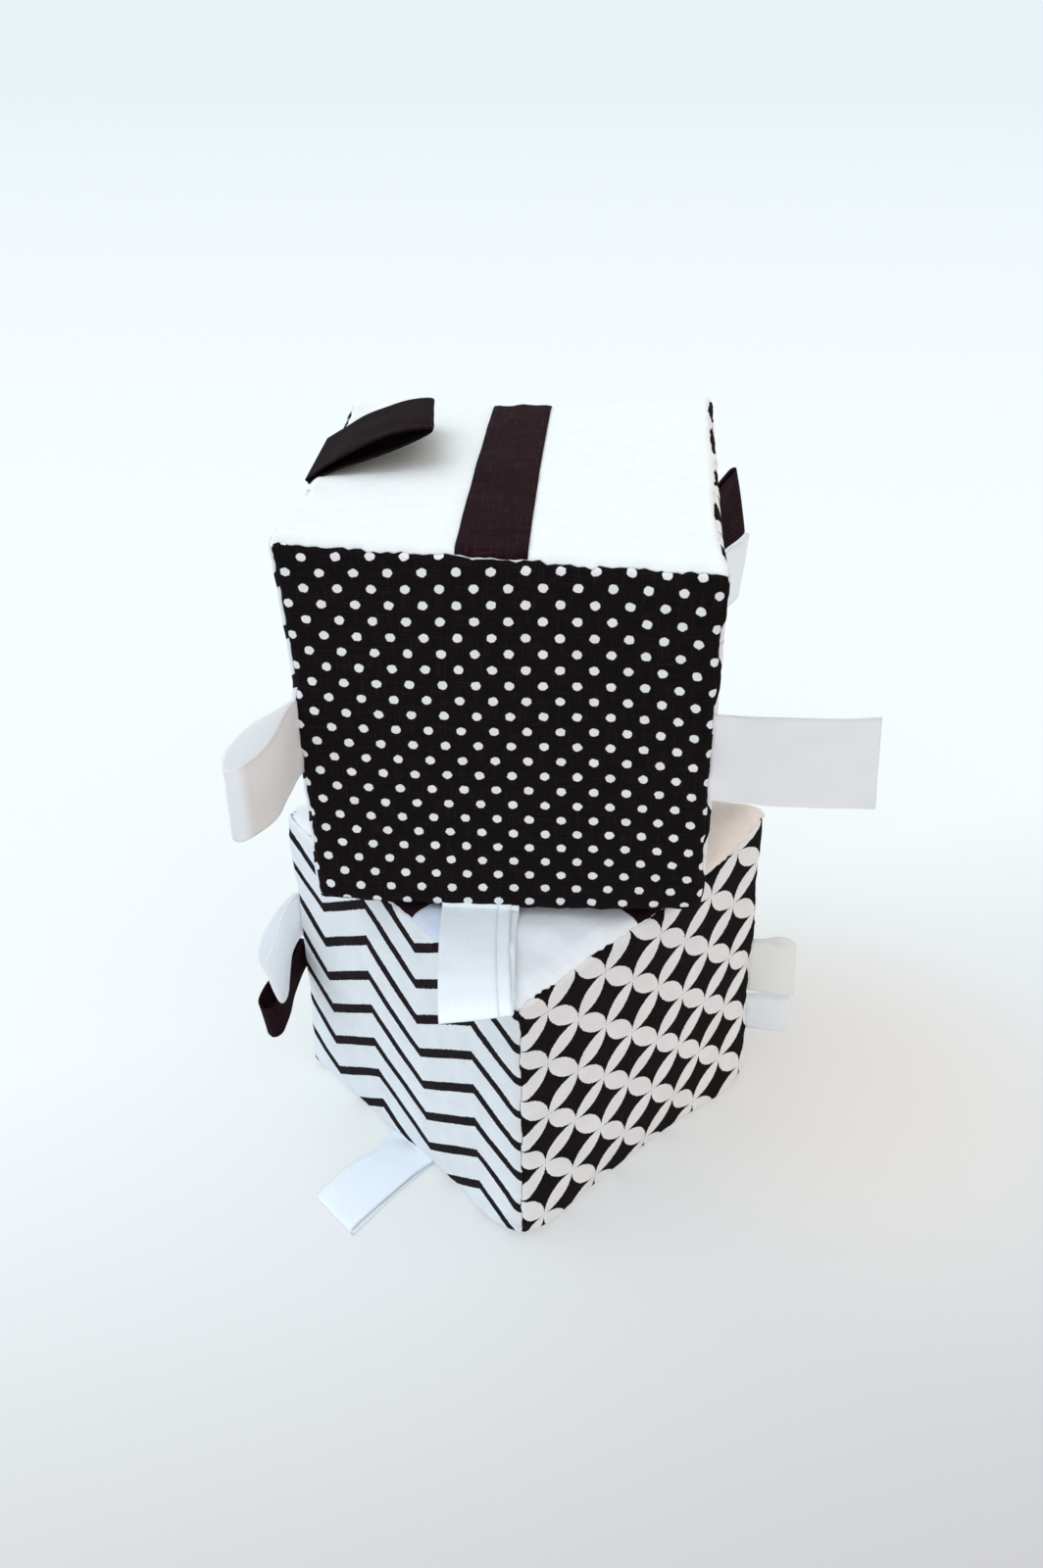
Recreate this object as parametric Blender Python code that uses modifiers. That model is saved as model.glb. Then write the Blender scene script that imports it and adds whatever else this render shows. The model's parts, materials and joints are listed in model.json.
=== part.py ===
# Two stacked soft fabric blocks: foam cubes in sewn covers, with ribbon tags in the seams.
# Metres, +Z up. The origin is the centre of the lower block's resting face.
import bpy
import bmesh
import math
from mathutils import Matrix, Vector

MM = 0.001

# Blocks: both covers are cut for the same cube
block_width = 101.6 * MM
block_height = 99.3 * MM
edge_radius = 3.0 * MM
face_crown = 0.8 * MM
edge_draw = 0.8 * MM
rest_crown = 0.6 * MM
press_depth = 0.5 * MM
cloth_thickness = 1.2 * MM
sewn_gap = 0.3 * MM
foam_gap = 0.6 * MM

# How the pair stands
lower_turn = math.radians(-42.2)
upper_offset_x = -2.4 * MM
upper_offset_y = 13.8 * MM

# Woven ribbon stripes on the plush
stripe_width = 16.0 * MM
stripe_thickness = 0.3 * MM
stripe_ramp = 4.0 * MM
upper_stripe_place_share = -0.02
under_stripe_place_share = 0.06
over_stripe_place_share = 0.0

# Ribbon tags: the ribbon, then each tag's width, length and opening
tag_thickness = 0.6 * MM
tag_layer_gap = 0.4 * MM
label_thickness = 0.5 * MM

top_loop_width = 28.0 * MM
top_loop_length = 28.7 * MM
top_loop_opening = 3.2 * MM
top_loop_slew = 15.0 * MM

left_loop_width = 20.5 * MM
left_loop_length = 28.0 * MM
left_loop_opening = 5.5 * MM
left_loop_droop = 5.0 * MM

label_width = 24.8 * MM
label_length = 39.0 * MM
label_rise = 0.3 * MM

front_loop_width = 19.5 * MM
front_loop_length = 38.8 * MM
front_loop_slew = 2.5 * MM

right_loop_width = 19.8 * MM
right_loop_length = 29.0 * MM
right_loop_opening = 2.0 * MM
right_loop_rise = 2.1 * MM
right_stack_gap = 1.05 * MM
right_black_place_share = 0.168

corner_white_width = 16.0 * MM
corner_black_width = 11.0 * MM
corner_loop_length = 23.0 * MM
corner_loop_opening = 5.0 * MM
corner_loop_droop = 7.5 * MM
corner_stack_gap = 1.05 * MM
corner_white_place_share = 0.24

satin_loop_width = 20.5 * MM
satin_loop_length = 13.4 * MM
satin_loop_opening = 4.5 * MM
small_loop_width = 14.0 * MM
small_loop_length = 13.0 * MM
small_loop_opening = 3.0 * MM
satin_stack_droop = 2.2 * MM
satin_stack_gap = 1.6 * MM
satin_place_share = -0.1

floor_loop_width = 19.0 * MM
floor_loop_length = 32.3 * MM
floor_loop_slew = 2.2 * MM
floor_clearance = 0.05 * MM

# Mesh steps
face_steps = 6
arc_steps = 2
leg_steps = 13
label_steps = 6
heading_steps = 24

half_width = block_width / 2
half_height = block_height / 2
edge_arc = math.radians(45)
edge_rise = rest_crown - press_depth
flat_height = half_height + edge_rise
right_stack = right_loop_width + right_stack_gap
corner_stack = (corner_white_width + corner_black_width) / 2 + corner_stack_gap
satin_stack = (satin_loop_width + small_loop_width) / 2 + satin_stack_gap
stripe_lift = sewn_gap + stripe_thickness / 2
stripe_step = sewn_gap + stripe_thickness
loop_root = (tag_thickness + tag_layer_gap) / 2
loop_root_reach = loop_root + tag_thickness / 2
flat_opening = 2 * loop_root
lower_centre_z = flat_height
upper_centre_z = 2 * flat_height + 2 * stripe_step + sewn_gap + flat_height

X = Vector((1, 0, 0))
Y = Vector((0, 1, 0))
Z = Vector((0, 0, 1))

COLOURS = {
    "dot_cotton": ((0.02, 0.018, 0.018), 0.85),
    "chevron_cotton": ((0.80, 0.81, 0.84), 0.85),
    "circle_cotton": ((0.30, 0.29, 0.29), 0.85),
    "plain_cotton": ((0.72, 0.71, 0.72), 0.85),
    "white_plush": ((0.84, 0.84, 0.86), 0.95),
    "black_ribbon": ((0.03, 0.024, 0.024), 0.55),
    "white_ribbon": ((0.86, 0.87, 0.90), 0.5),
    "white_satin": ((0.80, 0.80, 0.82), 0.35),
    "foam": ((0.86, 0.82, 0.66), 0.9),
}

# Each tag: its seam's two faces, its place along the seam as a share of half the block,
# its lean from the seam's outward diagonal towards the second face, and its curl, in degrees
UPPER_LOOPS = {
    "upper_black_loop_top": dict(
        seam=(-X, Z), place_share=-0.005, width=top_loop_width, length=top_loop_length,
        lean=98, curl=30, curl_power=0.6, opening=top_loop_opening, widest_share=0.6,
        shift=top_loop_slew, material="black_ribbon",
    ),
    "upper_white_loop_left": dict(
        seam=(-X, -Y), place_share=-0.015, width=left_loop_width, length=left_loop_length,
        lean=19, opening=left_loop_opening, widest_share=0.75, shift=-left_loop_droop,
    ),
    "upper_white_loop_front": dict(
        seam=(-Y, -Z), place_share=-0.14, width=front_loop_width, length=front_loop_length,
        lean=-46, curl=30, curl_power=7, shift=front_loop_slew,
    ),
    "upper_black_loop_right": dict(
        seam=(X, Y), place_share=right_black_place_share, width=right_loop_width,
        length=right_loop_length, lean=17, opening=right_loop_opening, shift=right_loop_rise,
        material="black_ribbon",
    ),
    "upper_white_loop_right": dict(
        seam=(X, Y), place_share=right_black_place_share - right_stack / half_height,
        width=right_loop_width, length=right_loop_length, lean=10,
        opening=right_loop_opening, shift=right_loop_rise,
    ),
}
UPPER_LABEL = dict(
    seam=(-Y, X), place_share=-0.041, width=label_width, length=label_length,
    lean=39.4, curl=10, shift=label_rise, material="white_satin",
)
LOWER_LOOPS = {
    "lower_white_loop_left": dict(
        seam=(-X, -Y), place_share=corner_white_place_share, width=corner_white_width,
        length=corner_loop_length, lean=77, opening=corner_loop_opening,
        shift=-corner_loop_droop,
    ),
    "lower_black_loop_left": dict(
        seam=(-X, -Y), place_share=corner_white_place_share - corner_stack / half_height,
        width=corner_black_width, length=corner_loop_length, lean=72,
        opening=corner_loop_opening, shift=-corner_loop_droop, material="black_ribbon",
    ),
    "lower_satin_loop_right": dict(
        seam=(X, Y), place_share=satin_place_share, width=satin_loop_width,
        length=satin_loop_length, lean=3, opening=satin_loop_opening, widest_share=0.7,
        shift=-satin_stack_droop, material="white_satin",
    ),
    "lower_white_loop_right": dict(
        seam=(X, Y), place_share=satin_place_share - satin_stack / half_height,
        width=small_loop_width, length=small_loop_length, lean=5,
        opening=small_loop_opening, widest_share=0.7, shift=-satin_stack_droop,
    ),
    "lower_white_loop_floor": dict(
        seam=(-Y, -Z), place_share=0.07, width=floor_loop_width, length=floor_loop_length,
        lean=-45, shift=floor_loop_slew, lies_on_floor=True,
    ),
}
PLAIN_TAG = dict(
    curl=0, curl_power=1, opening=flat_opening, widest_share=0.9, shift=0,
    lies_on_floor=False, material="white_ribbon",
)


def material(name):
    made = bpy.data.materials.get(name)
    if made:
        return made
    colour, roughness = COLOURS[name]
    made = bpy.data.materials.new(name)
    made.use_nodes = True
    shader = made.node_tree.nodes["Principled BSDF"]
    shader.inputs["Base Color"].default_value = (*colour, 1)
    shader.inputs["Roughness"].default_value = roughness
    shader.inputs["Metallic"].default_value = 0
    return made


def add_object(name, bm, block, material_name):
    mesh = bpy.data.meshes.new(name)
    bm.to_mesh(mesh)
    bm.free()
    mesh.shade_smooth()
    mesh.materials.append(material(material_name))
    obj = bpy.data.objects.new(name, mesh)
    block["collection"].objects.link(obj)
    obj.parent = block["frame"]
    return obj


def solidify(obj, thickness, offset):
    shell = obj.modifiers.new("thickness", "SOLIDIFY")
    shell.thickness = thickness
    shell.offset = offset
    shell.use_even_offset = True


def add_block(name, matrix, rests, collection):
    """The block's own frame, and which of its faces another surface presses flat."""
    frame = bpy.data.objects.new(name, None)
    frame.empty_display_size = half_width
    frame.matrix_world = matrix
    collection.objects.link(frame)
    return {"frame": frame, "rests": rests, "collection": collection}


# The soft cube: rounded edges, crowned faces, and edges drawn in between the corners

def crown_at(a, b, crown, draw):
    crowned = (1 - a * a) * (1 - b * b)
    drawn = (1 - a * a) * b * b + (1 - b * b) * a * a
    return crown * crowned - draw * drawn


def soft_cube_point(on_cube, rests, inset=0, lift=0):
    """Carries a point of the unit cube to the block. lift stands it off along the surface's normal."""
    half = half_width - inset
    share = (edge_radius - inset) / half
    inner = Vector([max(share - 1, min(1 - share, c)) for c in on_cube])
    out = (on_cube - inner).normalized()
    x, y, z = inner + out * share
    point = Vector((x * half, y * half, z * (half_height - inset)))
    point.x += x * crown_at(y, z, face_crown, edge_draw)
    point.y += y * crown_at(x, z, face_crown, edge_draw)
    if ("top" if z > 0 else "bottom") in rests:
        flat = flat_height - inset
        point.z += z * crown_at(x, y, rest_crown, 0)
        point.z = max(-flat, min(flat, point.z))
    else:
        point.z += z * crown_at(x, y, face_crown, edge_draw)
    return point + out * lift


def face_places(inset=0):
    """Shares of half the block across a face, seam to seam, with steps round both edges."""
    share = (edge_radius - inset) / (half_width - inset)
    seam = edge_arc - sewn_gap / 2 / (edge_radius - inset)
    turns = [edge_arc * i / arc_steps for i in range(1, arc_steps)] + [seam]
    arc = [1 - share + share * math.tan(turn) for turn in turns]
    flat = [(2 * i / face_steps - 1) * (1 - share) for i in range(face_steps + 1)]
    return [-place for place in reversed(arc)] + flat + arc


def add_sheet(bm, normal, columns, rows, rests, inset=0, lift=0):
    """A grid laid over one face of the block."""
    grid = bmesh.ops.create_grid(
        bm, x_segments=len(columns) - 1, y_segments=len(rows) - 1, size=1
    )
    up = Y if normal.z else Z
    across = up.cross(normal)
    for vert in grid["verts"]:
        column = columns[round((vert.co.x + 1) / 2 * (len(columns) - 1))]
        row = rows[round((vert.co.y + 1) / 2 * (len(rows) - 1))]
        on_cube = across * column + up * row + normal
        vert.co = soft_cube_point(on_cube, rests, inset, lift)


def add_panel(name, block, normal, material_name):
    """A cloth panel that ends halfway round each edge, where its seams are."""
    bm = bmesh.new()
    for inset in (0, cloth_thickness):
        places = face_places(inset)
        faces_before = len(bm.faces)
        add_sheet(bm, normal, places, places, block["rests"], inset)
    inner = bm.faces[faces_before:]
    bmesh.ops.reverse_faces(bm, faces=inner)
    rims = [edge for edge in bm.edges if edge.is_boundary]
    bmesh.ops.bridge_loops(bm, edges=rims)
    bmesh.ops.recalc_face_normals(bm, faces=bm.faces[:])
    bmesh.ops.triangulate(bm, faces=bm.faces[:], quad_method="SHORT_EDGE")
    add_object(name, bm, block, material_name)


def add_core(name, block):
    inset = cloth_thickness + foam_gap
    share = (edge_radius - inset) / (half_width - inset)
    flat = [(2 * i / face_steps - 1) * (1 - share) for i in range(face_steps + 1)]
    places = [-1] + flat + [1]
    bm = bmesh.new()
    bmesh.ops.create_cube(bm, size=2)
    bmesh.ops.subdivide_edges(bm, edges=bm.edges[:], cuts=len(flat), use_grid_fill=True)
    for vert in bm.verts:
        on_cube = [places[round((c + 1) / 2 * (len(flat) + 1))] for c in vert.co]
        vert.co = soft_cube_point(Vector(on_cube), block["rests"], inset)
    bmesh.ops.triangulate(bm, faces=bm.faces[:], quad_method="SHORT_EDGE")
    add_object(name, bm, block, "foam")


def add_stripe(name, block, place_share, runs_along_x, crossed_share=None):
    """A ribbon sewn over the plush from seam to seam. It steps over the stripe that it crosses."""
    sides = [place_share + side * stripe_width / block_width for side in (-1, 0, 1)]
    ends = face_places()
    step_top = stripe_width / 2 + sewn_gap
    step_foot = step_top + stripe_ramp
    if crossed_share is not None:
        ends = [end for end in ends if abs(end - crossed_share) * half_width > step_foot]
        for reach in (-step_foot, -step_top, step_top, step_foot):
            ends.append(crossed_share + reach / half_width)
        ends.sort()
    columns, rows = (ends, sides) if runs_along_x else (sides, ends)
    bm = bmesh.new()
    add_sheet(bm, Z, columns, rows, block["rests"], 0, stripe_lift)
    if crossed_share is not None:
        for vert in bm.verts:
            place = vert.co.x if runs_along_x else vert.co.y
            if abs(place - crossed_share * half_width) < step_top + stripe_ramp / 2:
                vert.co.z += stripe_step
    solidify(add_object(name, bm, block, "black_ribbon"), stripe_thickness, 0)


# Tags: a ribbon folded in two and sewn into a seam by its ends

def hinge_matrix(block, tag, root_reach):
    """The line the tag swings about, just clear of its seam: X points out, Y to the second face."""
    first, second = tag["seam"]
    out = (first + second).normalized()
    aside = (second - first).normalized()
    along = first.cross(second)
    corner = 1 - edge_radius / half_width
    span = tag["width"] / block_width
    surface = []
    for place in (tag["place_share"] - span, tag["place_share"], tag["place_share"] + span):
        for round_edge in (first, first + second, second):
            on_cube = (first + second) * corner + along * place
            on_cube += round_edge * (edge_radius / half_width)
            surface.append(soft_cube_point(on_cube, block["rests"]))
    reach_out = [point.dot(out) for point in surface[1::3]]
    centre = out * (max(reach_out) - edge_radius) + aside * surface[4].dot(aside)
    stand_off = edge_radius + sewn_gap + root_reach
    roll = 0
    if tag["lies_on_floor"]:
        drop = centre.z + flat_height - root_reach - floor_clearance
        roll = math.asin(drop / stand_off) - edge_arc
    hinge = centre + (out * math.cos(roll) + aside * math.sin(roll)) * stand_off
    hinge += along * tag["place_share"] * (half_height if along.z else half_width)
    axes = Matrix((out, aside, along)).transposed().to_4x4()
    return Matrix.Translation(hinge) @ axes


def centreline(tag, share):
    """Place and heading at a share of the tag's length, in the plane square to its seam."""
    lean, curl = math.radians(tag["lean"]), math.radians(tag["curl"])
    power = tag["curl_power"]
    place = Vector((0, 0))
    for i in range(heading_steps):
        at = share * (i + 0.5) / heading_steps
        heading = lean + curl * at**power
        place += Vector((math.cos(heading), math.sin(heading))) / heading_steps
    return place * share * tag["length"], lean + curl * share**power


def half_opening(tag, share):
    widest, widest_share = tag["opening"] / 2, tag["widest_share"]
    if share > widest_share:
        fall = (share - widest_share) / (1 - widest_share)
        return widest * math.sqrt(max(0, 1 - fall * fall))
    rise = share / widest_share
    opening = loop_root + (widest - loop_root) * rise * rise * (3 - 2 * rise)
    root_share = loop_root / tag["length"]
    if share < root_share:
        opening *= math.sqrt(max(0, 1 - (1 - share / root_share) ** 2))
    return opening


def loop_outline(tag):
    """The fold of the ribbon: out along one layer and back along the other."""
    outline = []
    lean = math.radians(tag["lean"])
    root = Vector((math.cos(lean), math.sin(lean))) * loop_root
    for i in range(2 * leg_steps):
        share = (1 - math.cos(math.pi * i / leg_steps)) / 2
        place, heading = centreline(tag, share)
        side = 1 if i < leg_steps else -1
        across = Vector((-math.sin(heading), math.cos(heading)))
        outline.append((place - root + across * side * half_opening(tag, share), share))
    return outline


def add_loop(name, block, values):
    tag = {**PLAIN_TAG, **values}
    outline = loop_outline(tag)
    bm = bmesh.new()
    bmesh.ops.create_circle(bm, segments=len(outline), radius=1)
    for vert, (place, share) in zip(bm.verts, outline):
        shift = tag["shift"] * share**1.5
        vert.co = (*place, shift - tag["width"] / 2)
    made = bmesh.ops.extrude_edge_only(bm, edges=bm.edges[:])["geom"]
    far_side = [item for item in made if isinstance(item, bmesh.types.BMVert)]
    bmesh.ops.translate(bm, verts=far_side, vec=(0, 0, tag["width"]))
    bmesh.ops.recalc_face_normals(bm, faces=bm.faces[:])
    obj = add_object(name, bm, block, tag["material"])
    obj.matrix_local = hinge_matrix(block, tag, loop_root_reach)
    solidify(obj, tag_thickness, 0)


def add_label(name, block, values):
    tag = {**PLAIN_TAG, **values}
    bm = bmesh.new()
    bmesh.ops.create_grid(bm, x_segments=label_steps, y_segments=1, size=1)
    for vert in bm.verts:
        share = (vert.co.x + 1) / 2
        place, _ = centreline(tag, share)
        height = vert.co.y * tag["width"] / 2 + tag["shift"] * share**1.5
        vert.co = (*place, height)
    obj = add_object(name, bm, block, tag["material"])
    obj.matrix_local = hinge_matrix(block, tag, label_thickness / 2)
    solidify(obj, label_thickness, 0)


def build_upper(collection):
    matrix = Matrix.Translation((upper_offset_x, upper_offset_y, upper_centre_z))
    block = add_block("upper_block_frame", matrix, ("bottom",), collection)
    add_core("upper_foam_core", block)
    add_panel("upper_dot_panel", block, -Y, "dot_cotton")
    add_panel("upper_circle_panel", block, X, "circle_cotton")
    add_panel("upper_back_panel", block, Y, "chevron_cotton")
    add_panel("upper_chevron_panel", block, -X, "chevron_cotton")
    add_panel("upper_plush_panel", block, Z, "white_plush")
    add_panel("upper_bottom_panel", block, -Z, "plain_cotton")
    add_stripe("upper_ribbon_stripe", block, upper_stripe_place_share, False)
    for name, values in UPPER_LOOPS.items():
        add_loop(name, block, values)
    add_label("upper_satin_label", block, UPPER_LABEL)


def build_lower(collection):
    turn = Matrix.Rotation(lower_turn, 4, "Z")
    matrix = Matrix.Translation((0, 0, lower_centre_z)) @ turn
    block = add_block("lower_block_frame", matrix, ("top", "bottom"), collection)
    add_core("lower_foam_core", block)
    add_panel("lower_chevron_panel", block, -Y, "chevron_cotton")
    add_panel("lower_circle_panel", block, X, "circle_cotton")
    add_panel("lower_back_right_panel", block, Y, "dot_cotton")
    add_panel("lower_back_left_panel", block, -X, "dot_cotton")
    add_panel("lower_plush_panel", block, Z, "white_plush")
    add_panel("lower_base_panel", block, -Z, "plain_cotton")
    add_stripe("lower_ribbon_under", block, under_stripe_place_share, False)
    add_stripe("lower_ribbon_over", block, over_stripe_place_share, True, under_stripe_place_share)
    for name, values in LOWER_LOOPS.items():
        add_loop(name, block, values)


def main():
    for obj in list(bpy.data.objects):
        bpy.data.objects.remove(obj, do_unlink=True)
    collection = bpy.data.collections.new("soft_fabric_blocks")
    bpy.context.scene.collection.children.link(collection)
    build_upper(collection)
    build_lower(collection)


main()
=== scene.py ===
# Two stacked soft fabric blocks with ribbon tags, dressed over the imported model.
import json
import math
import bpy
import bmesh
import numpy as np
from mathutils import Matrix, Vector


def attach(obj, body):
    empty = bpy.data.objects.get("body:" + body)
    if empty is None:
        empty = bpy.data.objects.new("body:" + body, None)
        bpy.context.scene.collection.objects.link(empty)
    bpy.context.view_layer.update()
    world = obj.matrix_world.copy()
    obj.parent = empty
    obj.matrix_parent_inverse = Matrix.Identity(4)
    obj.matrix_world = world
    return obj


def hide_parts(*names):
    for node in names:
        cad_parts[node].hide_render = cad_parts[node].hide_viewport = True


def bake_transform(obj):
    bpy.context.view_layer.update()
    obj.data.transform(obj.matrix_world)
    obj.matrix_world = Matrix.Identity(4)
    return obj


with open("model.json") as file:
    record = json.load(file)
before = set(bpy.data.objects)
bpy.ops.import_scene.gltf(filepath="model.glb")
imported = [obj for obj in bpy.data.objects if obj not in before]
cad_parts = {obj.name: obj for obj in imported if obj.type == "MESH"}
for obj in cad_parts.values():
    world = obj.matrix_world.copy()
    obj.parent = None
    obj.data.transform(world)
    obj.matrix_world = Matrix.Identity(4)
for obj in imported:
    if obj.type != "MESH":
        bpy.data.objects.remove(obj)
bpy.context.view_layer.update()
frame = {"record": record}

MM = 0.001

# ---------------------------------------------------------------- sizes, as the solids have them
WIDTH = 101.6 * MM
HEIGHT = 99.3 * MM
EDGE_RADIUS = 3.0 * MM
FACE_CROWN = 0.8 * MM
EDGE_DRAW = 0.8 * MM
REST_CROWN = 0.6 * MM
FLAT_HEIGHT = 49.75 * MM
LOWER_TURN = math.radians(-42.2)
UPPER_PLACE = Vector((-2.4, 13.8, 150.75)) * MM
LOWER_PLACE = Vector((0, 0, 49.75)) * MM
STRIPE_WIDTH = 16.0 * MM

HALF = np.array([WIDTH / 2, WIDTH / 2, HEIGHT / 2])
EDGE_SHARE = EDGE_RADIUS / HALF[0]
EDGE_ARC = math.radians(45)
FOAM_INSET = 1.8 * MM

# ---------------------------------------------------------------- sizes of the cloth
COTTON = 0.5 * MM
PLUSH = 1.2 * MM
RIBBON = 0.35 * MM
TAPE = 0.45 * MM
SATIN = 0.3 * MM
RIBBON_LIFT = 0.45 * MM
RIBBON_STEP = 0.6 * MM
SEAM_GAP = 0.16 * MM
LIP_DEPTHS = (0.7 * MM, 1.8 * MM)
GROOVE_DEPTH = 0.35 * MM
GROOVE_REACH = 0.8 * MM
PILE = 0.7 * MM
PILE_OVERHANG = 0.7 * MM
OVERHANG_REACH = 1.3 * MM
PUCKER_LENGTH = 6.3 * MM
PUCKER_LIFT = 0.13 * MM
PUCKER_REACH = 2.6 * MM
SEAM_WANDER = 0.2 * MM
WANDER_REACH = 3.0 * MM
SLIP_REACH = 4 * MM
# smooth unevenness of the stuffing and of the cloth: height and length
BROAD_WAVES = (0.22 * MM, 34 * MM)
FINE_WAVES = (0.08 * MM, 12 * MM)
PER_CM = 100

# ---------------------------------------------------------------- how fine the meshes are
PANEL_STEPS = 76
# along and across
STRIPE_STEPS = (90, 12)
LOOP_STEPS = (46, 20)
LABEL_STEPS = 59
BEND_STEPS = 7
FOAM_CUTS = 22
# parts that a tag's curve and a field of waves are summed from
HEADING_STEPS = 24
WAVES = 10

AXES = {"+x": (1, 0, 0), "-x": (-1, 0, 0), "+y": (0, 1, 0), "-y": (0, -1, 0), "+z": (0, 0, 1), "-z": (0, 0, -1)}

# Departures of the hand sewn blocks from the true form, in mm along the block's own axes, at the corners (-1, 1),
# the middles of edges and the middles of faces (0). Those not named are 0.
UPPER_LATTICE = {
    (-1, -1, 1): (-2.2, 1.9, 1.6), (1, -1, 1): (0.2, -1.9, -1.6), (-1, 1, 1): (-0.5, 0, 0.2),
    (0, 1, 1): (0, 0, -0.9), (1, 1, 1): (0.8, 0.8, 2.2), (-1, 0, 1): (-0.9, 0.4, 0.4), (1, 0, 1): (0.5, 0, 0),
    (-1, -1, 0): (-0.7, -0.8, 0), (0, -1, 0): (0, -1.5, 0), (1, -1, 0): (1.2, -1.4, 0),
    (-1, -1, -1): (0.5, -3.0, -0.8), (0, -1, -1): (0, -4.8, -0.8), (1, -1, -1): (1.8, -1.3, -0.2),
}
LOWER_LATTICE = {
    (-1, -1, 1): (2.0, 1.2, 1.6), (1, -1, 1): (0.9, -0.3, -2.4), (1, 1, 1): (-2.0, -1.5, -0.9),
    (1, 0, 1): (0, 0, -2.2), (0, 1, 1): (0, 0, 0.8), (-1, -1, 0): (1.1, 1.0, 0), (1, -1, 0): (0.5, 0.5, 0),
    (1, 0, 0): (0.4, 0, 0),
    (-1, -1, -1): (1.2, 0.2, 0), (1, -1, -1): (-0.3, 1.1, 0.6), (1, 0, -1): (2.0, 0, 0), (1, 1, -1): (2.5, -2.0, 0),
}
# Places that the stuffing or a seam pulls by more than that: (place, move in mm, reach in mm).
LOWER_PULLS = (
    ((1, 1, 1), (-0.6, 0.4, 4.4), 9), ((-1, -1, 1), (0, 0.4, 2.2), 9),
    ((1, -1, -1), (-1.5, 1.5, 0.4), 6), ((0.72, -1, -1), (0, -1.3, 0), 11), ((1, -0.7, -1), (0.9, 0, 0), 11),
    ((1, 0.72, -1), (2.2, 0, 0), 13), ((1, 1, -1), (-1.0, -1.4, 0), 8), ((1, 0.15, 1), (1.3, 0, -1.0), 18),
)
# Places where a seam was pulled over its edge: (its two faces, place along it, slip and reach in mm).
UPPER_SLIPS = (
    (("+z", "-x"), 30.5, 2.8, 11), (("+z", "-x"), -24, 3.0, 6), (("+z", "+x"), 35, 0.9, 16),
    (("+z", "+x"), -24, 1.2, 19), (("-y", "-x"), 20, 1.1, 9), (("-y", "-x"), -22, 0.9, 3),
    (("-z", "-y"), 0, 1.8, 60), (("-z", "+x"), 0, 1.8, 60),
)
LOWER_SLIPS = ((("+z", "-x"), -44, 1.9, 14), (("-y", "-x"), 44, 1.0, 9))

upper_frame = Matrix.Translation(UPPER_PLACE)
lower_frame = Matrix.Translation(LOWER_PLACE) @ Matrix.Rotation(LOWER_TURN, 4, "Z")
BLOCKS = {
    "upper": {"frame": upper_frame, "body": "upper_block", "rests": ("bottom",), "seed": 3,
              "lattice": UPPER_LATTICE, "pulls": (), "slips": UPPER_SLIPS},
    "lower": {"frame": lower_frame, "body": "lower_block", "rests": ("top", "bottom"), "seed": 8,
              "lattice": LOWER_LATTICE, "pulls": LOWER_PULLS, "slips": LOWER_SLIPS},
}


# ---------------------------------------------------------------- node helpers
class Graph:
    """A material's nodes, with sockets and numbers taken alike."""

    def __init__(self, name):
        self.material = bpy.data.materials.new(name)
        self.material.use_nodes = True
        self.nodes = self.material.node_tree.nodes
        self.links = self.material.node_tree.links
        self.shader = self.nodes["Principled BSDF"]
        self.out = self.nodes["Material Output"]

    def put(self, socket, value):
        if isinstance(value, bpy.types.NodeSocket):
            self.links.new(value, socket)
        else:
            socket.default_value = value

    def math(self, operation, *values):
        node = self.nodes.new("ShaderNodeMath")
        node.operation = operation
        for i, value in enumerate(values):
            self.put(node.inputs[i], value)
        return node.outputs[0]

    def uv(self, layer):
        node = self.nodes.new("ShaderNodeUVMap")
        node.uv_map = layer
        split = self.nodes.new("ShaderNodeSeparateXYZ")
        self.links.new(node.outputs[0], split.inputs[0])
        return split.outputs[0], split.outputs[1]

    def join(self, x, y, z=0.0):
        node = self.nodes.new("ShaderNodeCombineXYZ")
        for i, value in enumerate((x, y, z)):
            self.put(node.inputs[i], value)
        return node.outputs[0]

    def noise(self, vector, scale, detail=2.0, rough=0.5):
        node = self.nodes.new("ShaderNodeTexNoise")
        self.put(node.inputs["Vector"], vector)
        node.inputs["Scale"].default_value = scale
        node.inputs["Detail"].default_value = detail
        node.inputs["Roughness"].default_value = rough
        return node.outputs[0]

    def step(self, value, low, high):
        """0 below low, 1 above high, smooth between. low may be the larger."""
        node = self.nodes.new("ShaderNodeMapRange")
        node.interpolation_type = "SMOOTHSTEP"
        self.put(node.inputs["Value"], value)
        node.inputs["From Min"].default_value = low
        node.inputs["From Max"].default_value = high
        return node.outputs[0]

    def ramp(self, value, low, high, to_low, to_high):
        node = self.nodes.new("ShaderNodeMapRange")
        self.put(node.inputs["Value"], value)
        node.inputs["From Min"].default_value = low
        node.inputs["From Max"].default_value = high
        node.inputs["To Min"].default_value = to_low
        node.inputs["To Max"].default_value = to_high
        return node.outputs[0]

    def mix(self, factor, first, second):
        node = self.nodes.new("ShaderNodeMix")
        node.data_type = "RGBA"
        self.put(node.inputs["Factor"], factor)
        for socket, value in ((node.inputs[6], first), (node.inputs[7], second)):
            self.put(socket, value if isinstance(value, bpy.types.NodeSocket) else (*value, 1))
        return node.outputs[2]

    def bump(self, height, strength, distance):
        node = self.nodes.new("ShaderNodeBump")
        node.inputs["Strength"].default_value = strength
        node.inputs["Distance"].default_value = distance
        self.put(node.inputs["Height"], height)
        self.links.new(node.outputs[0], self.shader.inputs["Normal"])


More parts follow.
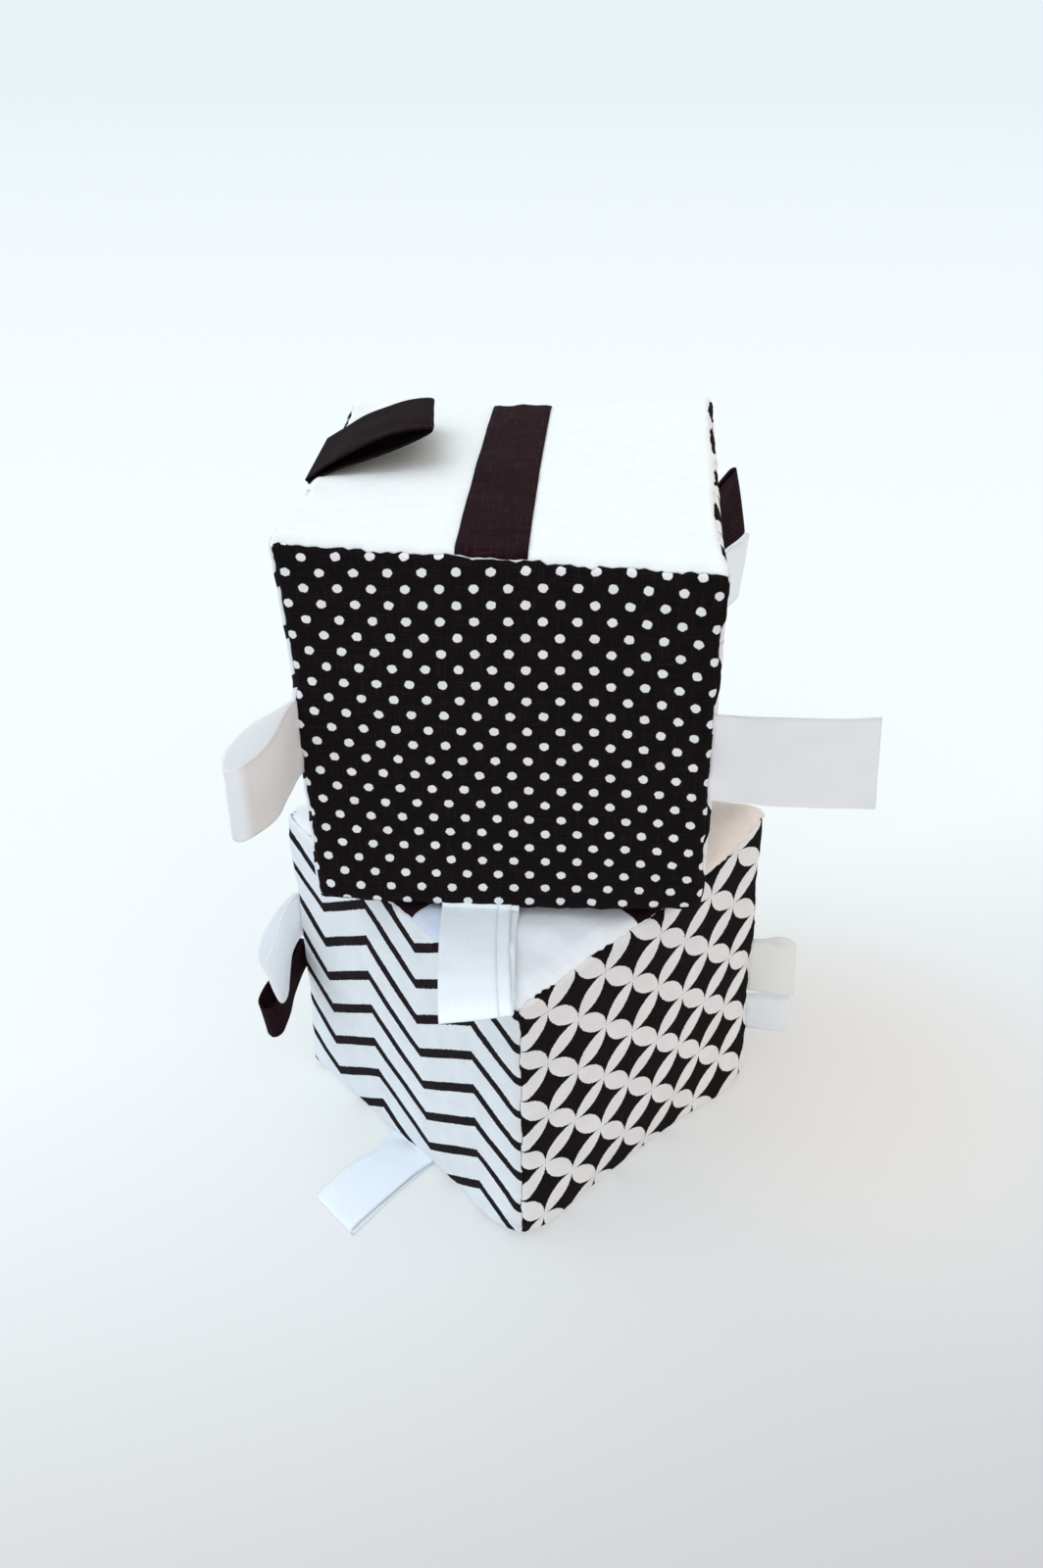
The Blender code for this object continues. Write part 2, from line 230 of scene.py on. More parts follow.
def threads(g, u, v, pitch=0.045, slub=0.6):
    """Height of a plain weave. u and v are in centimetres, and pitch too. Warp and weft have slubs."""
    warp = g.noise(g.join(g.math("DIVIDE", u, pitch), g.math("DIVIDE", v, slub)), 1.0, 1.0)
    weft = g.noise(g.join(g.math("DIVIDE", u, slub), g.math("DIVIDE", v, pitch), 7.0), 1.0, 1.0)
    return g.math("MAXIMUM", warp, weft)


def let_light_through(g, tone, share):
    """Mixes in light from the far side, as thin cloth shows it."""
    thin = g.nodes.new("ShaderNodeBsdfTranslucent")
    g.put(thin.inputs["Color"], tone)
    both = g.nodes.new("ShaderNodeMixShader")
    both.inputs[0].default_value = share
    g.links.new(g.shader.outputs[0], both.inputs[1])
    g.links.new(thin.outputs[0], both.inputs[2])
    g.links.new(both.outputs[0], g.out.inputs["Surface"])


def shade(g, colour, roughness, sheen=0.0, sheen_roughness=0.5):
    g.put(g.shader.inputs["Base Color"], colour)
    g.shader.inputs["Roughness"].default_value = roughness
    g.shader.inputs["Specular IOR Level"].default_value = 0.08
    g.shader.inputs["Sheen Weight"].default_value = sheen
    g.shader.inputs["Sheen Roughness"].default_value = sheen_roughness


INK = (0.0055, 0.0038, 0.0040)
INK_WORN = (0.0125, 0.0085, 0.0088)
GROUND = (0.77, 0.765, 0.765)
GROUND_LIGHT = (0.82, 0.815, 0.815)


def printed(name, mask_of, ground=GROUND, ground_light=GROUND_LIGHT, ink=INK, ink_worn=INK_WORN):
    """Cotton with a black and white print: mask_of gives 1 where the ground shows."""
    g = Graph(name)
    u, v = g.uv("cloth")
    weave = threads(g, u, v)
    cloudy = g.noise(g.join(u, v), 1.3, 3.0)
    black = g.mix(g.step(weave, 0.45, 0.75), ink, ink_worn)
    white = g.mix(g.step(cloudy, 0.3, 0.7), ground, ground_light)
    # the printed edge wanders by a thread or so
    wander = g.ramp(g.noise(g.join(u, v), 14.0, 1.0), 0.3, 0.7, -0.012, 0.012)
    shade(g, g.mix(mask_of(g, wander), black, white), 0.92)
    g.bump(weave, 0.35, 0.12 * MM)
    return g.material


def dots(g, wander):
    """White dots of 2.3 mm on a leaning lattice, one dot at each whole step of the print's map."""
    m, n = g.uv("print")
    m = g.math("SUBTRACT", g.math("FRACT", g.math("ADD", m, 0.5)), 0.5)
    n = g.math("SUBTRACT", g.math("FRACT", g.math("ADD", n, 0.5)), 0.5)
    x = g.math("MULTIPLY_ADD", m, 7.95, g.math("MULTIPLY", n, 3.94))
    y = g.math("MULTIPLY_ADD", n, 4.38, g.math("MULTIPLY", m, 0.14))
    away = g.math("SQRT", g.math("MULTIPLY_ADD", x, x, g.math("MULTIPLY", y, y)))
    return g.step(g.math("MULTIPLY_ADD", wander, 9.0, away), 1.24, 1.06)


def chevrons(g, wander):
    """Black zigzag lines on white: the print's map is in columns across and in lines down."""
    c, k = g.uv("print")
    k = g.math("MULTIPLY_ADD", g.math("PINGPONG", c, 1.0), 1.12, k)
    k = g.math("FRACT", g.math("ADD", g.math("ADD", k, wander), 10.0))
    inside = g.math("MULTIPLY", g.step(k, 0.0, 0.012), g.step(k, 0.285, 0.273))
    return g.math("SUBTRACT", 1.0, inside)


def circles(g, wander):
    """Overlapping circles: a point is white where two of them cover it."""
    x, y = g.uv("print")
    x = g.math("FRACT", g.math("ADD", x, 20.0))
    y = g.math("FRACT", g.math("ADD", y, 20.0))

    def petal(a, b):
        near = g.math("ADD", g.math("MINIMUM", a, g.math("SUBTRACT", 1.0, a)), 0.5)
        side = g.math("SUBTRACT", b, 0.5)
        return g.math("MULTIPLY_ADD", near, near, g.math("MULTIPLY", side, side))

    least = g.math("MINIMUM", petal(x, y), petal(y, x))
    return g.step(g.math("ADD", least, wander), 0.512, 0.497)


def plain_cotton(name, white):
    """Cotton of one colour: white is 1 for the ground's and 0 for the ink's."""
    return printed(name, lambda g, wander: white)


def plush_cloth(name, tone_of):
    """Short pile: soft clumps, fine nap and a pale sheen. tone_of gives the low and the high colour."""
    g = Graph(name)
    u, v = g.uv("cloth")
    place = g.join(u, v)
    nap = g.noise(place, 16.0, 4.0, 0.7)
    clumps = g.noise(place, 2.6, 3.0, 0.6)
    height = g.math("MULTIPLY_ADD", clumps, 1.4, nap)
    tone = g.mix(g.step(clumps, 0.3, 0.72), *tone_of(g, u, v))
    shade(g, tone, 1.0, 0.15, 0.6)
    g.bump(height, 0.35, 0.4 * MM)
    return g.material


def clean_plush(g, u, v):
    return (0.82, 0.87, 0.865), (0.85, 0.90, 0.895)


def light_painted_plush(g, u, v):
    """Painted light and shade: bluish painted shade in the shelter of the upper block, bright cool painted light
    towards the middle, and warm painted bounce light at the free corner.
    """
    corner = g.math("ADD", u, v)
    warm = g.step(corner, 3.5, 8.0)
    shelter = g.mix(g.step(corner, -8.0, -4.5), (0.84, 0.87, 0.89), (0.68, 0.77, 0.91))
    cool = g.mix(g.step(corner, -2.5, 1.0), shelter, (0.89, 0.95, 1.0))
    tone = g.mix(warm, cool, (0.875, 0.80, 0.74))
    return g.mix(0.06, tone, (0.3, 0.3, 0.3)), tone


def ribbon_cloth(name, colour, light, roughness, sheen, strength=0.5, see_through=0.0):
    """Woven tape: threads across and along, lighter where they stand up."""
    g = Graph(name)
    u, v = g.uv("cloth")
    weave = threads(g, u, v, 0.05, 0.9)
    rubbed = g.noise(g.join(u, v), 3.0, 3.0)
    lit = g.math("MULTIPLY", g.step(weave, 0.45, 0.8), g.ramp(rubbed, 0.3, 0.7, 0.55, 1.0))
    shade(g, g.mix(lit, colour, light), roughness, sheen)
    g.bump(weave, strength, 0.15 * MM)
    if see_through:
        let_light_through(g, (*light, 1), see_through)
    return g.material


def shade_painted_tape(name, fold, see_through):
    """Woven tape, with warm painted shade up to its fold, which lies fold centimetres along it, and bright, cool
    painted light beyond.
    """
    g = Graph(name)
    u, v = g.uv("cloth")
    weave = threads(g, u, v, 0.05, 0.9)
    before_fold = g.math("SUBTRACT", fold, v)
    tone = g.mix(g.step(before_fold, 0.05, 0.4), (0.97, 0.99, 1.0), (0.80, 0.745, 0.71))
    shade(g, g.mix(g.math("MULTIPLY", g.step(weave, 0.4, 0.9), 0.3), tone, (0.99, 0.97, 0.95)), 0.88, 0.1)
    g.bump(weave, 0.35, 0.15 * MM)
    let_light_through(g, tone, see_through)
    return g.material


def stitched_tape(name, colour, light):
    """Cotton tape with a line of machine stitches along it, 5.6 mm from its middle."""
    g = Graph(name)
    u, v = g.uv("cloth")
    weave = threads(g, u, v, 0.04, 0.7)
    aside = g.math("ABSOLUTE", g.math("SUBTRACT", u, 0.56))
    dash = g.math("ABSOLUTE", g.math("SUBTRACT", g.math("FRACT", g.math("DIVIDE", v, 0.26)), 0.5))
    on_line = g.step(aside, 0.035, 0.015)
    stitch = g.math("MULTIPLY", on_line, g.step(dash, 0.42, 0.34))
    dimple = g.math("MULTIPLY", g.step(aside, 0.09, 0.0), g.math("SUBTRACT", 1.0, stitch))
    tone = g.mix(g.step(weave, 0.4, 0.75), colour, light)
    shade(g, g.mix(g.math("MULTIPLY", on_line, 0.3), tone, (0.5, 0.52, 0.56)), 0.88, 0.1)
    height = g.math("MULTIPLY_ADD", weave, 0.35, g.math("SUBTRACT", stitch, dimple))
    g.bump(height, 0.5, 0.25 * MM)
    return g.material


def satin_cloth(name, colour, light, see_through):
    """Thin satin that lets light through: fine lines run along it."""
    g = Graph(name)
    u, v = g.uv("cloth")
    lines = g.noise(g.join(g.math("DIVIDE", u, 0.03), g.math("DIVIDE", v, 1.4)), 1.0, 2.0)
    cloudy = g.noise(g.join(u, v), 1.1, 2.0)
    tone = g.mix(g.step(cloudy, 0.3, 0.7), colour, light)
    shade(g, tone, 0.42, 0.1)
    g.bump(lines, 0.25, 0.06 * MM)
    let_light_through(g, tone, see_through)
    return g.material


def foam_body(name):
    g = Graph(name)
    place = g.nodes.new("ShaderNodeTexCoord").outputs["Object"]
    cells = g.noise(place, 900.0, 3.0, 0.7)
    tone = g.mix(g.step(cells, 0.35, 0.65), (0.72, 0.66, 0.45), (0.86, 0.81, 0.62))
    shade(g, tone, 0.95)
    g.bump(cells, 0.6, 0.4 * MM)
    return g.material


CLOTHS = {
    "dot_cotton": printed("dot_cotton", dots, (0.775, 0.795, 0.80), (0.835, 0.855, 0.86)),
    "chevron_cotton": printed(
        "chevron_cotton", chevrons, (0.735, 0.765, 0.775), (0.78, 0.815, 0.825),
        (0.010, 0.007, 0.008), (0.020, 0.014, 0.016),
    ),
    "circle_cotton": printed("circle_cotton", circles),
    "plain_cotton": plain_cotton("plain_cotton", 1.0),
    "black_cotton": plain_cotton("black_cotton", 0.0),
    "white_plush": plush_cloth("white_plush", clean_plush),
    "light_painted_plush": plush_cloth("light_painted_plush", light_painted_plush),
    "black_ribbon": ribbon_cloth("black_ribbon", (0.010, 0.0024, 0.0042), (0.032, 0.0118, 0.0165), 0.8, 0.0),
    # a darker copy of the black ribbon, for the top loop: painted shade against the strong light from above
    "shade_painted_ribbon": ribbon_cloth("shade_painted_ribbon", (0.0062, 0.0020, 0.0026), (0.020, 0.0085, 0.0095), 0.85, 0.0),
    "white_ribbon": shade_painted_tape("white_ribbon", 2.9, 0.5),
    "thin_ribbon": ribbon_cloth("thin_ribbon", (0.95, 0.97, 0.985), (0.98, 0.99, 1.0), 0.88, 0.1, 0.35, 0.5),
    "cool_ribbon": ribbon_cloth("cool_ribbon", (0.78, 0.86, 0.92), (0.83, 0.91, 0.97), 0.88, 0.1, 0.35),
    "white_satin": satin_cloth("white_satin", (0.935, 0.94, 0.95), (0.965, 0.97, 0.98), 0.4),
    "thin_satin": satin_cloth("thin_satin", (0.98, 0.98, 0.95), (1.0, 1.0, 0.97), 0.6),
    "stitched_tape": stitched_tape("stitched_tape", (0.86, 0.94, 1.0), (0.89, 0.975, 1.0)),
    "foam": foam_body("foam"),
}


# ---------------------------------------------------------------- the soft cube, as the solids have it
def crown_at(a, b, crown, draw):
    crowned = (1 - a * a) * (1 - b * b)
    drawn = (1 - a * a) * b * b + (1 - b * b) * a * a
    return crown * crowned - draw * drawn


def waves(points, seed, length):
    """A smooth field from -1 to 1 over points in metres, made of waves about length long."""
    rng = np.random.default_rng(seed)
    total = np.zeros(len(points))
    for _ in range(WAVES):
        direction = rng.normal(size=3)
        direction *= 2 * math.pi / np.linalg.norm(direction) / (length * rng.uniform(0.7, 1.4))
        total += np.sin(points @ direction + rng.uniform(0, 2 * math.pi))
    return total / math.sqrt(WAVES)


def smooth(value, low, high):
    t = np.clip((value - low) / (high - low), 0, 1)
    return t * t * (3 - 2 * t)


def soft_cube(on, rests, inset=0.0):
    """Points of the unit cube carried to the block, and the directions out of it."""
    half = HALF - inset
    share = (EDGE_RADIUS - inset) / half[0]
    inner = np.clip(on, share - 1, 1 - share)
    out = on - inner
    out /= np.linalg.norm(out, axis=1)[:, None]
    unit = inner + out * share
    x, y, z = unit.T
    point = unit * half
    point[:, 0] += x * crown_at(y, z, FACE_CROWN, EDGE_DRAW)
    point[:, 1] += y * crown_at(x, z, FACE_CROWN, EDGE_DRAW)
    free = z * crown_at(x, y, FACE_CROWN, EDGE_DRAW)
    pressed = z * crown_at(x, y, REST_CROWN, 0)
    for side, end in ((z > 0, "top"), (z <= 0, "bottom")):
        point[side, 2] += np.where(end in rests, pressed, free)[side]
        if end in rests:
            flat = FLAT_HEIGHT - inset
            point[side, 2] = np.clip(point[side, 2], -flat, flat)
    return point, out


def departures(point, block):
    """How far a block's lattice and pulls move each point."""
    x, y, z = np.clip(point / HALF, -1.02, 1.02).T
    weights = [(a * (a - 1) / 2, 1 - a * a, a * (a + 1) / 2) for a in (x, y, z)]
    moved = np.zeros((len(point), 3))
    for (i, j, k), move in block["lattice"].items():
        weight = weights[0][i + 1] * weights[1][j + 1] * weights[2][k + 1]
        moved += weight[:, None] * np.array(move) * MM
    for place, move, reach in block["pulls"]:
        away = np.linalg.norm(point - np.array(place) * HALF, axis=1) / (reach * MM)
        moved += np.exp(-(away ** 2))[:, None] * np.array(move) * MM
    return moved


def across_places(steps, half):
    """Places from seam to seam: (share of half the block, arc length from the seam, depth of the lip)."""
    places = []
    turn_end = EDGE_ARC - SEAM_GAP / 2 / EDGE_RADIUS
    for depth in reversed(LIP_DEPTHS):
        places.append((turn_end, 0.0, depth))
    for i in range(BEND_STEPS):
        turn = turn_end * (1 - i / BEND_STEPS)
        places.append((turn, EDGE_RADIUS * (turn_end - turn), 0.0))
    arc = EDGE_RADIUS * turn_end
    left = [(-(1 - EDGE_SHARE + EDGE_SHARE * math.tan(turn)), dist, depth) for turn, dist, depth in places]
    flat = half * (1 - EDGE_SHARE)
    # finer near the seams, where the cloth puckers
    middle = []
    for i in range(steps + 1):
        t = i / steps * 2 - 1
        t = 0.35 * t + 0.65 * math.sin(t * math.pi / 2)
        middle.append((t * (1 - EDGE_SHARE), arc + flat * (1 - abs(t)), 0.0))
    right = [(-share, dist, depth) for share, dist, depth in reversed(left)]
    return np.array(left + middle + right)


def seam_fields(point, along, dist, normal, neighbour, seed):
    """What the seam shared with a neighbour does: puckers out of the cloth, and a line that wanders."""
    pair = normal + neighbour
    phase = float(pair @ np.array((1.7, 2.9, 4.1))) + seed
    k = 2 * math.pi / PUCKER_LENGTH
    pucker = np.sin(k * along + phase) + 0.7 * np.sin(0.61 * k * along + 2.1 * phase)
    pucker += 0.8 * np.sin(0.27 * k * along + 3.3 * phase)
    lift = PUCKER_LIFT * pucker * np.exp(-dist / PUCKER_REACH)
    wander = np.sin(k * 0.31 * along + 1.3 * phase) + 0.6 * np.sin(k * 0.72 * along + 0.7 * phase)
    wander += 0.5 * np.sin(k * 1.9 * along + 4.1 * phase)
    order = 1 if tuple(normal) > tuple(neighbour) else -1
    aside = (normal - neighbour) * order / math.sqrt(2)
    move = SEAM_WANDER * wander * np.exp(-dist / WANDER_REACH)
    return lift, move[:, None] * aside


def slipped(point, normal, neighbour, block):
    """How far the seam between two faces was pulled onto the first named of them, and that way round the edge."""
    faces = {tuple(normal), tuple(neighbour)}
    amount, onto = np.zeros(len(point)), np.zeros(3)
    for (first, second), place, slip, reach in block["slips"]:
        if {AXES[first], AXES[second]} == faces:
            along = point[:, [i for i in range(3) if not AXES[first][i] and not AXES[second][i]][0]] / MM
            amount += slip * MM * np.exp(-(((along - place) / reach) ** 4))
            onto = (np.array(AXES[first]) - np.array(AXES[second])) / math.sqrt(2)
    return amount, onto


def face_surface(block, normal, columns, rows, extra_lift=None, drift=(0, 0), pile=0.0):
    """The surface of a panel at each column and row. Returns points, and coordinates on the cloth in metres.
    drift is how far the print slides for each metre that the panel stands out. pile is how far plush hangs over."""
    normal = np.array(normal, float)
    up = np.array((0.0, 1.0, 0.0)) if abs(normal[2]) > 0.5 else np.array((0.0, 0.0, 1.0))
    across = np.cross(up, normal)
    s, t = np.meshgrid(columns[:, 0], rows[:, 0], indexing="ij")
    ds, dt = np.meshgrid(columns[:, 1], rows[:, 1], indexing="ij")
    lip_s, lip_t = np.meshgrid(columns[:, 2], rows[:, 2], indexing="ij")
    s, t, ds, dt = (a.ravel() for a in (s, t, ds, dt))
    depth = np.maximum(lip_s.ravel(), lip_t.ravel())
    on = s[:, None] * across + t[:, None] * up + normal
    point, out = soft_cube(on, block["rests"])
    moved = departures(point, block)
    seed = block["seed"]
    smooth_lift = BROAD_WAVES[0] * waves(point, seed, BROAD_WAVES[1])
    smooth_lift = smooth_lift + FINE_WAVES[0] * waves(point, seed + 1, FINE_WAVES[1])
    # a face that rests on something stays as it is, and one that carries something nearly so
    if "bottom" in block["rests"] and normal[2] < 0:
        smooth_lift *= 0
    if "top" in block["rests"] and normal[2] > 0:
        smooth_lift *= 0.4
    point += out * smooth_lift[:, None]
    for dist, place, line, axis in ((ds, s, t, across), (dt, t, s, up)):
        for side in (-1, 1):
            near = (place * side) > 0
            along = line * HALF[0]
            lift, move = seam_fields(point, along, dist, normal, axis * side, seed)
            slip, onto = slipped(point, normal, axis * side, block)
            move = move + (slip * np.exp(-dist / SLIP_REACH))[:, None] * onto
            point[near] += out[near] * lift[near, None] + move[near]
            if pile:
                tufts = 0.6 + 0.4 * waves(point, seed + 5, 2.4 * MM) + 0.3 * waves(point, seed + 6, 7 * MM)
                over = pile * np.exp(-((dist / OVERHANG_REACH) ** 2)) * np.clip(tufts, 0, 1.6) * (depth < 0.1 * MM)
                over *= np.clip(1 - slip / (0.8 * MM), 0, 1)
                point[near] += (over[:, None] * ((axis * side - normal) / math.sqrt(2) + 0.35 * out))[near]
    seam = np.minimum(ds, dt)
    groove = GROOVE_DEPTH * np.exp(-seam / GROOVE_REACH)
    lift = np.zeros(len(point)) if extra_lift is None else extra_lift(point, s, t, seam)
    point += out * (lift - groove - depth)[:, None] + moved
    stand = moved @ normal
    a = np.sign(s) * (columns[:, 1].max() - ds) + moved @ across + drift[0] * stand
    b = np.sign(t) * (rows[:, 1].max() - dt) + moved @ up + drift[1] * stand
    return point, a, b


def grid_object(name, points, size, maps, placing, material_name):
    """A sheet of size columns by rows, in the frame called placing. maps gives its UV layers, (u, v) per point."""
    columns, rows = size
    index = np.arange(columns * rows).reshape(columns, rows)
    quads = np.stack([index[:-1, :-1], index[1:, :-1], index[1:, 1:], index[:-1, 1:]], -1).reshape(-1, 4)
    mesh = bpy.data.meshes.new(name)
    mesh.from_pydata(points.tolist(), [], quads.tolist())
    corners = quads.ravel()
    for layer, (u, v) in maps.items():
        made = mesh.uv_layers.new(name=layer)
        made.data.foreach_set("uv", np.stack([u[corners], v[corners]], -1).astype(np.float32).ravel())
    mesh.uv_layers["cloth"].active = True
    mesh.uv_layers["cloth"].active_render = True
    mesh.shade_smooth()
    mesh.materials.append(CLOTHS[material_name])
    mesh.transform(placing)
    obj = bpy.data.objects.new(name, mesh)
    bpy.context.scene.collection.objects.link(obj)
    return obj


def thicken(obj, thickness, offset, rim_only=False):
    shell = obj.modifiers.new("thickness", "SOLIDIFY")
    shell.thickness = thickness
    shell.offset = offset
    shell.use_even_offset = False
    shell.use_rim_only = rim_only


# ---------------------------------------------------------------- prints: maps from a face to its steps
def curve_map(values):
    """A map with a slight drift, as a hand cut piece has. The places are shares of 50 mm."""
    def made(a, b):
        a, b = a / (50 * MM), b / (50 * MM)
        terms = (np.ones(len(a)), a, b, a * a, a * b, b * b, a**3, a * a * b, a * b * b, b**3)
        return sum(value * term for value, term in zip(values, terms))
    return made


def print_map(first, second, rotate=False):
    first, second = curve_map(first), curve_map(second)

    def made(a, b):
        m, n = first(a, b), second(a, b)
        return ((m + n) / 2, (m - n) / 2) if rotate else (m, n)
    return made


DOT_MAP = print_map(
    (-0.313, 6.375, -5.687, -0.135, 0.100, -0.164, -0.189, -0.069, 0.213, -0.063),
    (0.095, -0.329, 11.55, 0.253, 0.046, 0.345, 0.384, 0.171, -0.217, -0.016),
)
BACK_DOT_MAP = print_map((0.31, 6.29, -5.65), (0.22, 0.10, 11.40))
SIDE_DOT_MAP = print_map((0.62, 6.29, -5.65), (0.47, -0.22, 11.40))
CHEVRON_MAP = print_map((1.493, 2.255, 0.011, -0.024, 0.056, 0.009), (1.208, 0.079, -3.741, 0.033, -0.151, -0.124))
LEFT_CHEVRON_MAP = print_map((0.449, 2.26, 0.02), (0.05, 0.40, -3.74))
BACK_CHEVRON_MAP = print_map((0.85, 2.26, -0.02), (0.18, 0.04, -3.74))
CIRCLE_MAP = print_map(
    (3.721, 4.574, 0.021, -0.070, 0.086, 0.060), (3.745, -0.064, -4.812, 0.140, 0.213, -0.240), rotate=True,
)
SIDE_CIRCLE_MAP = print_map((0.9, 4.7, 0.02), (0.78, -0.03, -4.8), rotate=True)
NO_PRINT = print_map((0, 1, 0), (0, 0, 1))


def add_panel(block_name, label, side, material_name, print_of=NO_PRINT, extra_lift=None, drift=(0, 0)):
    block = BLOCKS[block_name]
    columns = across_places(PANEL_STEPS, HALF[0])
    rows = across_places(PANEL_STEPS, HALF[1] if side[1] == "z" else HALF[2])
    plush = material_name.endswith("plush")
    points, a, b = face_surface(block, AXES[side], columns, rows, extra_lift, drift, PILE_OVERHANG if plush else 0.0)
    maps = {"cloth": (a * PER_CM, b * PER_CM), "print": print_of(a, b)}
    name = f"{block_name}_{label}_cloth"
    obj = grid_object(name, points, (len(columns), len(rows)), maps, block["frame"], material_name)
    thicken(obj, PLUSH if plush else COTTON, -1)
    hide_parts(f"{block_name}_{label}_panel")
    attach(obj, block["body"])


# ---------------------------------------------------------------- foam cushions inside the covers
def add_foam(block_name):
    block = BLOCKS[block_name]
    bm = bmesh.new()
    bmesh.ops.create_cube(bm, size=2)
    bmesh.ops.subdivide_edges(bm, edges=bm.edges[:], cuts=FOAM_CUTS, use_grid_fill=True)
    on = np.array([v.co[:] for v in bm.verts])
    point, _ = soft_cube(on, block["rests"], FOAM_INSET)
    point += departures(point, block)
    for vert, co in zip(bm.verts, point):
        vert.co = co
    mesh = bpy.data.meshes.new(f"{block_name}_foam_cushion")
    bm.to_mesh(mesh)
    bm.free()
    mesh.shade_smooth()
    mesh.materials.append(CLOTHS["foam"])
    mesh.transform(block["frame"])
    obj = bpy.data.objects.new(mesh.name, mesh)
    bpy.context.scene.collection.objects.link(obj)
    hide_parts(f"{block_name}_foam_core")
    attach(obj, block["body"])


# ---------------------------------------------------------------- ribbons sewn over the plush
# where the middle of each lies, as a share of half the block
UPPER_STRIPE = -0.04
UNDER_STRIPE = 0.02
OVER_STRIPE = 0.03


def beside(place, line, reach):
    """1 where the plush lies free, 0 under a ribbon, rising over reach."""
    return smooth(np.abs(place - line) * HALF[0], STRIPE_WIDTH / 2 - 0.6 * MM, STRIPE_WIDTH / 2 + reach)


def upper_plush_lift(point, s, t, seam):
    free = beside(s, UPPER_STRIPE, 3.5 * MM)
    return PILE * free * smooth(seam, 0, 2.5 * MM) + 0.05 * MM * waves(point, 21, 5 * MM)


def upper_cover(point):
    """How far a point of the lower block lies outside the upper block's outline, in metres."""
    world = point @ np.array(lower_frame.to_3x3()).T + np.array(LOWER_PLACE)
    away = np.abs(world[:, :2] - np.array(UPPER_PLACE)[:2]) - HALF[0]
    return np.maximum(away[:, 0], away[:, 1])


def lower_plush_lift(point, s, t, seam):
    free = beside(s, UNDER_STRIPE, 3.0 * MM) * beside(t, OVER_STRIPE, 3.0 * MM)
    outside = smooth(upper_cover(point), -1 * MM, 9 * MM)
    swell = 1.0 * MM * outside * smooth(seam, 0, 5 * MM)
    # the free corner at the right is full, because the upper block presses beside it
    corner = np.hypot(point[:, 0] / MM - 46, point[:, 1] / MM - 47)
    swell += 2.4 * MM * outside * np.exp(-((corner / 13) ** 2)) * smooth(seam, -1.5 * MM, 3 * MM)
    folds = 0.5 * MM * outside * waves(point * np.array((1, 1, 0)), 33, 14 * MM) * smooth(seam, 0, 4 * MM)
    return free * (swell + folds)


def add_stripe(label, block_name, place, along_x, crossed=None):
    """A ribbon from seam to seam over the plush. crossed is the place of the stripe that it steps over."""
    block = BLOCKS[block_name]
    long_steps, cross_steps = STRIPE_STEPS
    ends = across_places(long_steps, HALF[0])
    half_share = STRIPE_WIDTH / 2 / HALF[0]
    sides = [place + half_share * (i / cross_steps * 2 - 1) for i in range(cross_steps + 1)]
    across = np.array([(side, HALF[0] * (1 - abs(side)), 0.0) for side in sides])
    columns, rows = (ends, across) if along_x else (across, ends)

    def lift(point, s, t, seam):
        run, over = (s, t) if along_x else (t, s)
        lifted = np.full(len(point), RIBBON_LIFT)
        if crossed is not None:
            near = np.abs(run - crossed) * HALF[0]
            lifted += RIBBON_STEP * (1 - smooth(near, STRIPE_WIDTH / 2, STRIPE_WIDTH / 2 + 4 * MM))
        edge = 1 - np.abs(over - place) / half_share
        lifted -= 0.12 * MM * (1 - smooth(edge, 0, 0.12))
        return lifted + 0.05 * MM * waves(point, 51, 6 * MM)

    points, a, b = face_surface(block, AXES["+z"], columns, rows, lift)
    u, v = (b, a) if along_x else (a, b)
    maps = {"cloth": (u * PER_CM, v * PER_CM)}
    name = f"{block_name}_{label}_cloth"
    obj = grid_object(name, points, (len(columns), len(rows)), maps, block["frame"], "black_ribbon")
    thicken(obj, RIBBON, 0)
    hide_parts(f"{block_name}_{label}")
    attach(obj, block["body"])


